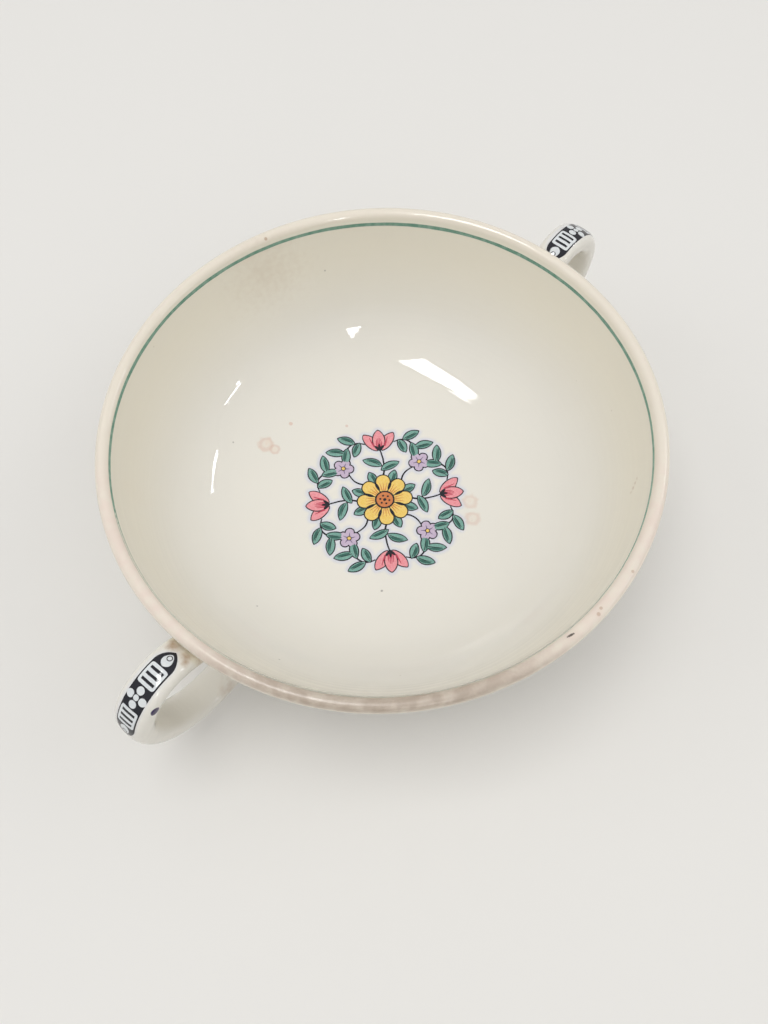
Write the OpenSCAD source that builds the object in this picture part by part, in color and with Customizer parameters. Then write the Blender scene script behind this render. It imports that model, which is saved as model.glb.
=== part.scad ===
// Two-handled soup cup of glazed earthenware: a round bowl on a foot ring, thrown thin at
// the wall, with two strap handles luted on under the lip. Bowl and handles were joined as
// soft clay and fired together, so the cup is one solid.
// Units are millimetres. Z is up, the foot stands on Z = 0 and the handles lie along X.

/* [Bowl] */
// Outer diameter over the lip
rim_d = 122; // [118:1:132]
// Height from the table to the top of the lip
cup_h = 46; // [42:0.5:52]
// Thickness of the rounded lip
lip_t = 3.1; // [2.6:0.1:3.6]
// Lean of the inner wall from upright at the lip, in degrees
lean_in = 12; // [11:0.5:13.5]
// Lean of the outer wall from upright at the lip, in degrees
lean_out = 13.5; // [12.5:0.5:14.5]
// Radius of the slow bow of the inner wall below the lip
bow_in = 90; // [80:5:120]
// Radius of the slow bow of the outer wall below the lip
bow_out = 100; // [90:5:130]
// Radius of the inner curve between wall and floor
turn_in = 24; // [21:0.5:26]
// Radius of the outer curve between wall and shoulder
turn_out = 21; // [19:0.5:22]
// Radius of the gently dished floor
floor_r = 400; // [250:10:800]
// Thickness of the base in the middle
base_t = 5.4; // [4.6:0.1:6.4]

/* [Foot] */
// Outer diameter of the foot ring where it stands
foot_d = 57; // [50:1:58]
// Width of the foot ring where it stands
foot_w = 4.2; // [3.4:0.1:5.4]
// Height of the foot ring up to the shoulder of the bowl
foot_h = 5.2; // [4.4:0.1:6]
// Depth of the hollow inside the foot ring
hollow_h = 4.2; // [3:0.1:5]
// Rounding of the two standing edges
foot_edge = 0.8; // [0.4:0.1:1]
// Radius of the coves at the top of the foot ring
foot_cove = 1.2; // [0.8:0.1:1.4]
// Draft of the two sides of the foot ring, in degrees
foot_draft = 6; // [2:0.5:9]

/* [Handles] */
// Width of the strap at its ends
strap_w = 7.9; // [7:0.1:9.4]
// Thickness of the strap at its ends
strap_t = 4.8; // [4:0.1:5.2]
// Width of the strap at the bend, where it swells
bend_w = 8.6; // [7.6:0.1:10]
// Thickness of the strap at the bend
bend_t = 5.7; // [4.6:0.1:6.2]
// Squareness of the strap's section: 2 is an ellipse
strap_square = 2.8; // [2.2:0.1:3.4]
// Radius of the flare where the strap is luted to the wall
flare = 2.4; // [1.6:0.1:2.8]
// Depth that the strap's end is seated in the wall
seat = 1.6; // [1:0.1:2]
// Depth in the wall at which the flare begins
flare_root = 0.2; // [0.15:0.05:0.3]
// Distance from the lip's outer edge to the middle of the strap at its outermost place
reach = 16.4; // [14:0.2:21]
// Depth of the upper joint's middle below the lip
upper_drop = 9.2; // [8.4:0.1:10.2]
// Depth of the outermost place below the lip
bend_drop = 15.5; // [14:0.1:18]
// Depth of the lower joint's middle below the lip
lower_drop = 32.4; // [30.4:0.1:33.4]
// Angle at which the strap rises from the upper joint, in degrees
rise = 42; // [34:0.5:48]
// Angle at which the strap sags away from the lower joint, in degrees
sag = 24; // [16:0.5:32]
// Pull of the upper joint's direction on the loop
pull_upper = 12.5; // [10:0.1:15]
// Pull of the outer bend's direction on the upper half of the loop
pull_bend_up = 7.3; // [6:0.1:9]
// Pull of the outer bend's direction on the lower half of the loop
pull_bend_down = 8.1; // [7:0.1:10]
// Pull of the lower joint's direction on the loop
pull_lower = 22.8; // [19:0.1:25]

/* [Hidden] */
// Steps of the round stretches in the bowl's section
arc_steps = 14;
// Steps of the slow bow of each wall
wall_steps = 9;
// Rings along the free part of the strap
strap_rings = 34;
// Points round the strap's section
strap_points = 28;
// Rings across each flare, after the one on the wall
flare_rings = 6;

rim_r = rim_d / 2;
lip_r = lip_t / 2;
lip_c = [rim_r - lip_r, cup_h - lip_r];
floor_z = hollow_h + base_t;

function unit(a) = [cos(a), sin(a)];
function arc(c, r, a0, a1, n) =
    [for (i = [0:n]) c + r * unit(a0 + (a1 - a0) * i / n)];
function angle_of(v) = atan2(v[1], v[0]);

// The place where two circles cross, on the right of the way from one centre to the other
function crossing(a, ra, b, rb) =
    let (d = norm(b - a), x = (d * d + ra * ra - rb * rb) / (2 * d),
         h = sqrt(ra * ra - x * x), u = (b - a) / d)
    a + x * u + h * [u[1], -u[0]];

// Inner side: the wall's slow bow from the lip, then the inner curve, which touches both the
// bow and the dished floor
wall_in = lip_c + lip_r * unit(180 - lean_in);
bow_in_c = wall_in + bow_in * unit(180 - lean_in);
floor_c = [0, floor_z + floor_r];
turn_in_c = crossing(bow_in_c, bow_in - turn_in, floor_c, floor_r - turn_in);
turn_in_a = angle_of(turn_in_c - bow_in_c);
floor_edge_a = angle_of(turn_in_c - floor_c);

// Outer side: the wall's slow bow, then the outer curve, which touches the bow and the shoulder
wall_out = lip_c + lip_r * unit(-lean_out);
bow_out_c = wall_out - bow_out * unit(-lean_out);
turn_out_z = foot_h + turn_out;
turn_out_c = [bow_out_c[0] + sqrt(pow(bow_out - turn_out, 2) - pow(turn_out_z - bow_out_c[1], 2)),
    turn_out_z];
turn_out_a = angle_of(turn_out_c - bow_out_c);
turn_out_top = turn_out_z + turn_out * sin(turn_out_a);

// The outer side's distance from the axis at a height, its outward angle and a place on it
function outer_side(z) = z >= turn_out_top ? [bow_out_c, bow_out] : [turn_out_c, turn_out];
function outer_a(z) = let (o = outer_side(z)) asin((z - o[0][1]) / o[1]);
function outer_x(z) = let (o = outer_side(z)) o[0][0] + o[1] * cos(outer_a(z));

// A corner rounded by an arc that touches both of its sides
function rounded(p, q, s, r, n) =
    let (u = (p - q) / norm(p - q), v = (s - q) / norm(s - q),
         half = acos(u * v) / 2,
         c = q + (u + v) / norm(u + v) * r / sin(half),
         t0 = q + u * r / tan(half) - c, t1 = q + v * r / tan(half) - c,
         a0 = angle_of(t0), turn = angle_of(t1) - a0,
         sweep = turn > 180 ? turn - 360 : turn < -180 ? turn + 360 : turn)
    arc(c, r, a0, a0 + sweep, n);

// Corners of the foot ring, from the middle of the hollow outwards
foot_lean = tan(foot_draft);
foot_r = foot_d / 2;
ring_in = foot_r - foot_w;
hollow_mid = [0, hollow_h];
hollow_top = [ring_in - hollow_h * foot_lean, hollow_h];
stand_in = [ring_in, 0];
stand_out = [foot_r, 0];
shoulder_in = [foot_r + foot_h * foot_lean, foot_h];
shoulder_out = [turn_out_c[0], foot_h];

in_step = (turn_in_a + lean_in) / wall_steps;
turn_step = (floor_edge_a - turn_in_a) / (2 * arc_steps);
out_step = (-lean_out - turn_out_a) / wall_steps;

bowl_section = concat(
    [wall_out],
    arc(lip_c, lip_r, 0, 90, arc_steps),
    arc(lip_c, lip_r, 90 + 90 / arc_steps, 180 - lean_in, arc_steps - 1),
    arc(bow_in_c, bow_in, -lean_in + in_step, turn_in_a, wall_steps - 1),
    arc(turn_in_c, turn_in, turn_in_a + turn_step, floor_edge_a, 2 * arc_steps - 1),
    arc(floor_c, floor_r, floor_edge_a - (floor_edge_a + 90) / arc_steps, -90, arc_steps - 1),
    [hollow_mid],
    rounded(hollow_mid, hollow_top, stand_in, foot_cove, arc_steps / 2),
    rounded(hollow_top, stand_in, stand_out, foot_edge, arc_steps / 2),
    rounded(stand_in, stand_out, shoulder_in, foot_edge, arc_steps / 2),
    rounded(stand_out, shoulder_in, shoulder_out, foot_cove, arc_steps / 2),
    arc(turn_out_c, turn_out, -90, turn_out_a, 2 * arc_steps),
    arc(bow_out_c, bow_out, turn_out_a + out_step, -lean_out - out_step, wall_steps - 2)
);

// Joints: places just under the outer wall's face, with the wall's outward direction
function face_at(z) = [outer_x(z), z];
upper_z = cup_h - upper_drop;
upper_a = outer_a(upper_z);
upper_joint = face_at(upper_z) - flare_root * unit(upper_a);
lower_z = cup_h - lower_drop;
lower_a = outer_a(lower_z);
lower_joint = face_at(lower_z) - flare_root * unit(lower_a);

// The loop: two curves that meet at the outermost place of the bend
bend = [rim_r + reach, cup_h - bend_drop];
upper_curve = [upper_joint, upper_joint + pull_upper * unit(rise),
    bend + [0, pull_bend_up], bend];
lower_curve = [bend, bend - [0, pull_bend_down],
    lower_joint + pull_lower * unit(-sag), lower_joint];

function mix(a, b, k) = a * (1 - k) + b * k;
function curve_at(p, t) =
    mix(mix(mix(p[0], p[1], t), mix(p[1], p[2], t), t),
        mix(mix(p[1], p[2], t), mix(p[2], p[3], t), t), t);
function curve_dir(p, t) =
    mix(mix(p[1] - p[0], p[2] - p[1], t), mix(p[2] - p[1], p[3] - p[2], t), t);
function loop_at(t) = t <= 1 ? curve_at(upper_curve, t) : curve_at(lower_curve, t - 1);
function loop_a(t) =
    let (d = t <= 1 ? curve_dir(upper_curve, t) : curve_dir(lower_curve, t - 1),
         a = angle_of(d))
    a > 90 ? a - 360 : a;
function smooth(k) = k <= 0 ? 0 : k >= 1 ? 1 : k * k * (3 - 2 * k);

// Distance from the nearer joint, measured along the loop's end
function off_upper(t) = 3 * pull_upper * t;
function off_lower(t) = 3 * pull_lower * (2 - t);
function off_wall(t) = t <= 1 ? off_upper(t) : off_lower(t);
function flared(d) = d >= flare ? 0 : flare - sqrt(flare * flare - (flare - d) * (flare - d));

// The rings turn to lie along the wall as they come near it
turn_zone = 3 * flare;
function ring_a(t) =
    let (k = smooth(1 - off_wall(t) / turn_zone))
    t <= 1 ? mix(loop_a(t), upper_a, k) : mix(loop_a(t), lower_a - 180, k);
function ring_wrap(t) = smooth(1 - off_wall(t) / turn_zone);

// One ring: section points across Y and along the ring's own outward direction. Near the wall
// the ring bows with it, round the cup's axis and down the wall's own section
function power(v, e) = sign(v) * pow(abs(v), e);
function bow(r, v) = r - sqrt(r * r - v * v);
function wall_off(z, at_z, a) = outer_x(z) - outer_x(at_z) + (z - at_z) * tan(a);
function swell(t) = pow(sin(90 * (t <= 1 ? t : 2 - t)), 2);
function ring(c, a, t, wrap) =
    [for (i = [0:strap_points - 1])
        let (s = 360 * (i + 0.5) / strap_points,
             lower = t > 1,
             grow = flared(off_wall(t)),
             y = (mix(strap_w, bend_w, swell(t)) / 2 + grow) * power(cos(s), 2 / strap_square),
             v = (mix(strap_t, bend_t, swell(t)) / 2 + grow) * power(sin(s), 2 / strap_square),
             z = c[1] + v * cos(a),
             follow = wrap > 0 ? wrap * (lower ? wall_off(z, lower_z, lower_a)
                 : wall_off(z, upper_z, upper_a)) : 0)
        [c[0] - v * sin(a) + follow - wrap * bow(c[0], y), y, z]];

flare_t_upper = flare / (3 * pull_upper);
flare_t_lower = flare / (3 * pull_lower);
flare_steps = [for (k = [0:flare_rings]) 1 - cos(90 * k / flare_rings)];
free_from = flare_t_upper;
free_to = 2 - flare_t_lower;
loop_t = concat(
    [for (k = flare_steps) k * flare_t_upper],
    [for (i = [1:strap_rings]) mix(free_from, free_to, i / (strap_rings + 1))],
    [for (k = [flare_rings:-1:0]) 2 - flare_steps[k] * flare_t_lower]
);
rings = concat(
    [ring(upper_joint - (seat - flare_root) * unit(upper_a), upper_a, 0, 1)],
    [for (t = loop_t) ring(loop_at(t), ring_a(t), t, ring_wrap(t))],
    [ring(lower_joint - (seat - flare_root) * unit(lower_a), lower_a - 180, 2, 1)]
);
ring_last = len(rings) - 1;

function ring_points() = [for (r = rings) for (p = r) p];
function side_faces() =
    [for (j = [0:ring_last - 1]) for (i = [0:strap_points - 1])
        let (a = j * strap_points + i, b = j * strap_points + (i + 1) % strap_points,
             c = b + strap_points, d = a + strap_points)
        for (f = [[a, c, b], [a, d, c]]) f];
function end_faces() =
    [[for (i = [0:strap_points - 1]) i],
     [for (i = [strap_points - 1:-1:0]) ring_last * strap_points + i]];

// The turned bowl, from its lip to its foot ring
module bowl() {
    color([0.90, 0.88, 0.82])
    rotate_extrude($fn = 144)
        polygon(bowl_section);
}

// One strap handle on the +X side, seated in the wall at both ends
module handle() {
    color([0.88, 0.86, 0.80])
    polyhedron(points = ring_points(), faces = concat(side_faces(), end_faces()), convexity = 6);
}

// The whole cup, fired as one
module cup() {
    union() {
        bowl();
        handle();
        rotate([0, 0, 180])
            handle();
    }
}

cup();
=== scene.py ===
"""Looks of a two-handled cup of glazed earthenware, with a painted line and printed ornament.

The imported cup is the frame. A finer body of the same form stands for it, and the prints lie on
the body as thin conforming plates under one gloss.
"""

import logging
import math
from dataclasses import dataclass, field, replace
from enum import Enum
from typing import Callable, Iterable, Mapping, Sequence

import bmesh
import bpy
from bmesh.types import BMEdge, BMesh, BMFace, BMVert
from bpy.types import ID, Material, Node, NodeSocket, NodeTree, Object
from mathutils import Matrix, Vector, kdtree, noise


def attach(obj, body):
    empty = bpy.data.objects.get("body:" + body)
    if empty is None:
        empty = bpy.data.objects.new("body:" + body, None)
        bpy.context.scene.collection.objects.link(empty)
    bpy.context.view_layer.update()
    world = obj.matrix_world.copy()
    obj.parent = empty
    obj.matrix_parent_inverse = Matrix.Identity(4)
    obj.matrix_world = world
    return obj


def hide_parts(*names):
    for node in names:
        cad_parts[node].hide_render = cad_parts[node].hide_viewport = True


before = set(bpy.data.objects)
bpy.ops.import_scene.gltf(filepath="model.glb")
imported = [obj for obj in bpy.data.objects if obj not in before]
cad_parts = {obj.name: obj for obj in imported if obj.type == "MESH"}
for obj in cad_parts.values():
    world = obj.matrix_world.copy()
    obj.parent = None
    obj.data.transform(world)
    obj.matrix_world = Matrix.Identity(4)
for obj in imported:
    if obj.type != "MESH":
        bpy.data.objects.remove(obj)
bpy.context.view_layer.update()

MM = 0.001
LOG = logging.getLogger("cup")
WAVER_SEED = 7

Wrap = Callable[[float, float, float], Vector]
BMPart = BMVert | BMEdge | BMFace


# Sizes and form


@dataclass(frozen=True)
class CupSizes:
    """Sizes of the cup in millimetres and degrees, the same named values as the part's source."""

    rim_d: float = 122.0
    cup_h: float = 46.0
    lip_t: float = 3.1
    lean_in: float = 12.0
    lean_out: float = 13.5
    bow_in: float = 90.0
    bow_out: float = 100.0
    turn_in: float = 24.0
    turn_out: float = 21.0
    floor_r: float = 400.0
    base_t: float = 5.4
    foot_d: float = 57.0
    foot_w: float = 4.2
    foot_h: float = 5.2
    hollow_h: float = 4.2
    foot_edge: float = 0.8
    foot_cove: float = 1.2
    foot_draft: float = 6.0
    strap_w: float = 7.9
    strap_t: float = 4.8
    bend_w: float = 8.6
    bend_t: float = 5.7
    strap_square: float = 2.8
    flare: float = 2.4
    seat: float = 1.6
    flare_root: float = 0.2
    reach: float = 16.4
    upper_drop: float = 9.2
    bend_drop: float = 15.5
    lower_drop: float = 32.4
    rise: float = 42.0
    sag: float = 24.0
    pull_upper: float = 12.5
    pull_bend_up: float = 7.3
    pull_bend_down: float = 8.1
    pull_lower: float = 22.8


def unit(angle: float) -> Vector:
    """Direction in the section's plane at an angle in degrees from outwards, rising."""
    return Vector((math.cos(math.radians(angle)), math.sin(math.radians(angle))))


def angle_of(v: Vector) -> float:
    """Angle of a section vector in degrees."""
    return math.degrees(math.atan2(v[1], v[0]))


def smooth(k: float) -> float:
    """Smooth step from 0 to 1."""
    k = min(1.0, max(0.0, k))
    return k * k * (3 - 2 * k)


def power(v: float, e: float) -> float:
    """Power of a value that keeps its sign."""
    return math.copysign(abs(v) ** e, v)


def bow(r: float, v: float) -> float:
    """Drop of a round face of radius r at distance v from its middle."""
    return r - math.sqrt(r * r - v * v)


def crossing(a: Vector, ra: float, b: Vector, rb: float) -> Vector:
    """Place where two circles cross, on the right of the way from one centre to the other."""
    d = (b - a).length
    x = (d * d + ra * ra - rb * rb) / (2 * d)
    u = (b - a) / d
    return a + x * u + math.sqrt(ra * ra - x * x) * Vector((u[1], -u[0]))


class CupForm:
    """Places that follow from the sizes: the bowl's section and the loop of a strap handle."""

    def __init__(self, sizes: CupSizes) -> None:
        """Works the places out.

        Args:
            sizes: the cup's named sizes in millimetres.
        """
        s = self.sizes = sizes
        self.rim_r = s.rim_d / 2
        self.lip_r = s.lip_t / 2
        self.lip_c = Vector((self.rim_r - self.lip_r, s.cup_h - self.lip_r))
        self.floor_z = s.hollow_h + s.base_t

        self.wall_in = self.lip_c + self.lip_r * unit(180 - s.lean_in)
        self.bow_in_c = self.wall_in + s.bow_in * unit(180 - s.lean_in)
        self.floor_c = Vector((0.0, self.floor_z + s.floor_r))
        self.turn_in_c = crossing(self.bow_in_c, s.bow_in - s.turn_in, self.floor_c, s.floor_r - s.turn_in)
        self.turn_in_a = angle_of(self.turn_in_c - self.bow_in_c)
        self.floor_edge_a = angle_of(self.turn_in_c - self.floor_c)

        self.wall_out = self.lip_c + self.lip_r * unit(-s.lean_out)
        self.bow_out_c = self.wall_out - s.bow_out * unit(-s.lean_out)
        turn_z = s.foot_h + s.turn_out
        run = math.sqrt((s.bow_out - s.turn_out) ** 2 - (turn_z - self.bow_out_c[1]) ** 2)
        self.turn_out_c = Vector((self.bow_out_c[0] + run, turn_z))
        self.turn_out_a = angle_of(self.turn_out_c - self.bow_out_c)
        self.turn_out_top = turn_z + s.turn_out * math.sin(math.radians(self.turn_out_a))

        self.upper_z, self.lower_z = s.cup_h - s.upper_drop, s.cup_h - s.lower_drop
        self.upper_a, self.lower_a = self.outer_a(self.upper_z), self.outer_a(self.lower_z)
        self.upper_joint, self.lower_joint = (
            Vector((self.outer_x(z), z)) - s.flare_root * unit(a)
            for z, a in ((self.upper_z, self.upper_a), (self.lower_z, self.lower_a))
        )

        bend = Vector((self.rim_r + s.reach, s.cup_h - s.bend_drop))
        self.upper_curve = [
            self.upper_joint,
            self.upper_joint + s.pull_upper * unit(s.rise),
            bend + Vector((0, s.pull_bend_up)),
            bend,
        ]
        self.lower_curve = [
            bend,
            bend - Vector((0, s.pull_bend_down)),
            self.lower_joint + s.pull_lower * unit(-s.sag),
            self.lower_joint,
        ]
        self.turn_zone = 3 * s.flare
        self.stations = self._measure_outer()

    def _outer_side(self, z: float) -> tuple[Vector, float]:
        """Centre and radius of the outer face's arc at a height."""
        if z >= self.turn_out_top:
            return self.bow_out_c, self.sizes.bow_out
        return self.turn_out_c, self.sizes.turn_out

    def outer_a(self, z: float) -> float:
        """Outward angle of the outer face at a height, in degrees."""
        centre, r = self._outer_side(z)
        return math.degrees(math.asin((z - centre[1]) / r))

    def outer_x(self, z: float) -> float:
        """Distance of the outer face from the axis at a height."""
        centre, r = self._outer_side(z)
        return centre[0] + r * math.cos(math.radians(self.outer_a(z)))

    def wall_off(self, z: float, lower: bool) -> float:
        """How far the outer face leaves the tangent of a joint, at a height."""
        at, a = (self.lower_z, self.lower_a) if lower else (self.upper_z, self.upper_a)
        return self.outer_x(z) - self.outer_x(at) + (z - at) * math.tan(math.radians(a))

    @staticmethod
    def _curve(p: Sequence[Vector], t: float) -> Vector:
        """Place on a cubic curve of four points."""
        k = 1 - t
        return k**3 * p[0] + 3 * k * k * t * p[1] + 3 * k * t * t * p[2] + t**3 * p[3]

    @staticmethod
    def _curve_dir(p: Sequence[Vector], t: float) -> Vector:
        """Direction of a cubic curve of four points."""
        k = 1 - t
        return k * k * (p[1] - p[0]) + 2 * k * t * (p[2] - p[1]) + t * t * (p[3] - p[2])

    def loop_at(self, t: float) -> Vector:
        """Middle of the strap, with t from 0 at the upper joint to 2 at the lower one."""
        return self._curve(self.upper_curve, t) if t <= 1 else self._curve(self.lower_curve, t - 1)

    def loop_a(self, t: float) -> float:
        """Angle of the loop's direction in degrees, from 90 down to below -180."""
        d = self._curve_dir(self.upper_curve, t) if t <= 1 else self._curve_dir(self.lower_curve, t - 1)
        a = angle_of(d)
        return a - 360 if a > 90 else a

    def off_wall(self, t: float) -> float:
        """Distance from the nearer joint, measured along the loop's end."""
        s = self.sizes
        return 3 * s.pull_upper * t if t <= 1 else 3 * s.pull_lower * (2 - t)

    def flared(self, d: float) -> float:
        """Growth of the strap's section at a distance from the wall."""
        f = self.sizes.flare
        return 0.0 if d >= f else f - math.sqrt(f * f - (f - d) ** 2)

    def ring_wrap(self, t: float) -> float:
        """How far a ring has turned to lie along the wall, from 0 to 1."""
        return smooth(1 - self.off_wall(t) / self.turn_zone)

    def ring_a(self, t: float) -> float:
        """Angle of a ring in degrees, which turns to the wall near a joint."""
        k = self.ring_wrap(t)
        end = self.upper_a if t <= 1 else self.lower_a - 180
        return self.loop_a(t) * (1 - k) + end * k

    def half_size(self, t: float) -> tuple[float, float]:
        """Half the strap's width and thickness, which swell to the bend and flare at the wall."""
        s = self.sizes
        swell = math.sin(math.pi / 2 * (t if t <= 1 else 2 - t)) ** 2
        grow = self.flared(self.off_wall(t))
        width = s.strap_w + (s.bend_w - s.strap_w) * swell
        thick = s.strap_t + (s.bend_t - s.strap_t) * swell
        return width / 2 + grow, thick / 2 + grow

    def ring(self, c: Vector, a: float, t: float, wrap: float, count: int) -> list[Vector]:
        """Points of one ring of the strap on the +X side.

        Args:
            c: the ring's middle in the section's plane, in millimetres.
            a: angle of the loop's direction there, in degrees.
            t: place along the loop, from 0 to 2.
            wrap: how far the ring bows with the wall, from 0 to 1.
            count: number of points.

        Returns:
            The points in millimetres.
        """
        half_w, half_t = self.half_size(t)
        square = 2 / self.sizes.strap_square
        ca, sa = math.cos(math.radians(a)), math.sin(math.radians(a))
        out = []
        for i in range(count):
            q = math.tau * (i + 0.5) / count
            y = half_w * power(math.cos(q), square)
            v = half_t * power(math.sin(q), square)
            z = c[1] + v * ca
            follow = wrap * self.wall_off(z, t > 1) if wrap > 0 else 0.0
            out.append(Vector((c[0] - v * sa + follow - wrap * bow(c[0], y), y, z)))
        return out

    def rings(self, free: int, flares: int, count: int) -> list[list[Vector]]:
        """All rings of a strap, from its seat in the wall at the lip to the lower one.

        Args:
            free: rings along the free part.
            flares: rings across each flare, after the one on the wall.
            count: points round a ring.

        Returns:
            Rings of points in millimetres.
        """
        s = self.sizes
        t_up, t_low = s.flare / (3 * s.pull_upper), s.flare / (3 * s.pull_lower)
        steps = [1 - math.cos(math.pi / 2 * k / flares) for k in range(flares + 1)]
        ts = [k * t_up for k in steps]
        ts += [t_up + (2 - t_low - t_up) * i / (free + 1) for i in range(1, free + 1)]
        ts += [2 - k * t_low for k in reversed(steps)]
        deep = s.seat - s.flare_root
        first = self.ring(self.upper_joint - deep * unit(self.upper_a), self.upper_a, 0, 1, count)
        last = self.ring(self.lower_joint - deep * unit(self.lower_a), self.lower_a - 180, 2, 1, count)
        middle = [self.ring(self.loop_at(t), self.ring_a(t), t, self.ring_wrap(t), count) for t in ts]
        return [first, *middle, last]

    def _measure_outer(self) -> list[tuple[float, float]]:
        """Length along the outer face's middle line against t, as pairs."""
        pairs, length, last = [], 0.0, None
        for i in range(801):
            t = i / 400
            p = self.loop_at(t) + self.half_size(t)[1] * unit(self.ring_a(t) + 90)
            length += (p - last).length if last is not None else 0.0
            pairs.append((length, t))
            last = p
        return pairs

    def t_at(self, along: float) -> float:
        """The loop's t at a length along the outer face from the upper joint."""
        low, high = 0, len(self.stations) - 1
        while high - low > 1:
            mid = (low + high) // 2
            low, high = (mid, high) if self.stations[mid][0] <= along else (low, mid)
        (l0, t0), (l1, t1) = self.stations[low], self.stations[high]
        return t0 + (t1 - t0) * (along - l0) / (l1 - l0)

    def on_strap(self, across: float, along: float, lift: float) -> Vector:
        """Place on the outer face of the strap on the +X side.

        Args:
            across: distance from the middle line, in millimetres along Y.
            along: length along the outer face from the upper joint.
            lift: height above the face.

        Returns:
            The place in millimetres.
        """
        t = self.t_at(along)
        (half_w, half_t), p = self.half_size(t), self.sizes.strap_square
        k = min(0.999, abs(across) / half_w)
        v = half_t * (1 - k**p) ** (1 / p)
        n = Vector((power(across / half_w, p - 1) / half_w, (v / half_t) ** (p - 1) / half_t)).normalized()
        c, out = self.loop_at(t), unit(self.ring_a(t) + 90)
        place = c + (v + lift * n[1]) * out
        wrap = self.ring_wrap(t)
        follow = wrap * self.wall_off(place[1], t > 1) if wrap > 0 else 0.0
        return Vector((place[0] + follow - wrap * bow(c[0], across), across + lift * n[0], place[1]))

    def on_floor(self, x: float, y: float, lift: float) -> Vector:
        """Place on the dished floor of the bowl, in millimetres."""
        r = math.hypot(x, y)
        n = Vector((-x, -y, self.sizes.floor_r)).normalized()
        return Vector((x, y, self.floor_z + bow(self.sizes.floor_r, r))) + lift * n

    def on_inner_wall(self, turn: float, z: float, lift: float) -> Vector:
        """Place on the inner wall or the inner half of the lip.

        Args:
            turn: angle round the axis, in radians.
            z: height, in millimetres.
            lift: height above the face, towards the axis.

        Returns:
            The place in millimetres.
        """
        if z > self.wall_in[1]:
            h = min(0.999, (z - self.lip_c[1]) / self.lip_r)
            n = Vector((-math.sqrt(1 - h * h), h))
            p = self.lip_c + (self.lip_r + lift) * n
        else:
            out = unit(math.degrees(math.asin((z - self.bow_in_c[1]) / self.sizes.bow_in)))
            p = self.bow_in_c + (self.sizes.bow_in - lift) * out
        return Vector((p[0] * math.cos(turn), p[0] * math.sin(turn), p[1]))


# Mesh tools


def in_scene(name: str, data: ID) -> Object:
    """Puts an object of some data in the scene, at the origin.

    Args:
        name: the object's name.
        data: its mesh, lamp or camera.

    Returns:
        The object.
    """
    obj = bpy.data.objects.new(name, data)
    bpy.context.scene.collection.objects.link(obj)
    return obj


def put(name: str, bm: BMesh, sharp: float | None = None) -> Object:
    """Makes an object of a finished mesh.

    Args:
        name: the piece's name.
        bm: its mesh in metres, which is freed.
        sharp: angle in degrees past which an edge stays sharp, or None for none.

    Returns:
        The object, shaded smooth.
    """
    mesh = bpy.data.meshes.new(name)
    for f in bm.faces:
        f.smooth = True
    bm.to_mesh(mesh)
    bm.free()
    if sharp is not None:
        mesh.set_sharp_from_angle(angle=math.radians(sharp))
    return in_scene(name, mesh)


def dress(obj: Object, material: Material) -> None:
    """Gives a piece its one finish."""
    obj.data.materials.clear()
    obj.data.materials.append(material)


def store_flow(obj: Object, shares: Sequence[float]) -> None:
    """Stores how much printed colour has flowed into the glaze at each point of a piece."""
    flow = obj.data.attributes.new("flow", "FLOAT", "POINT")
    flow.data.foreach_set("value", shares)


def verts_of(geom: Iterable[BMPart]) -> list[BMVert]:
    """The vertices among what an operator made."""
    return [g for g in geom if isinstance(g, BMVert)]


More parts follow.
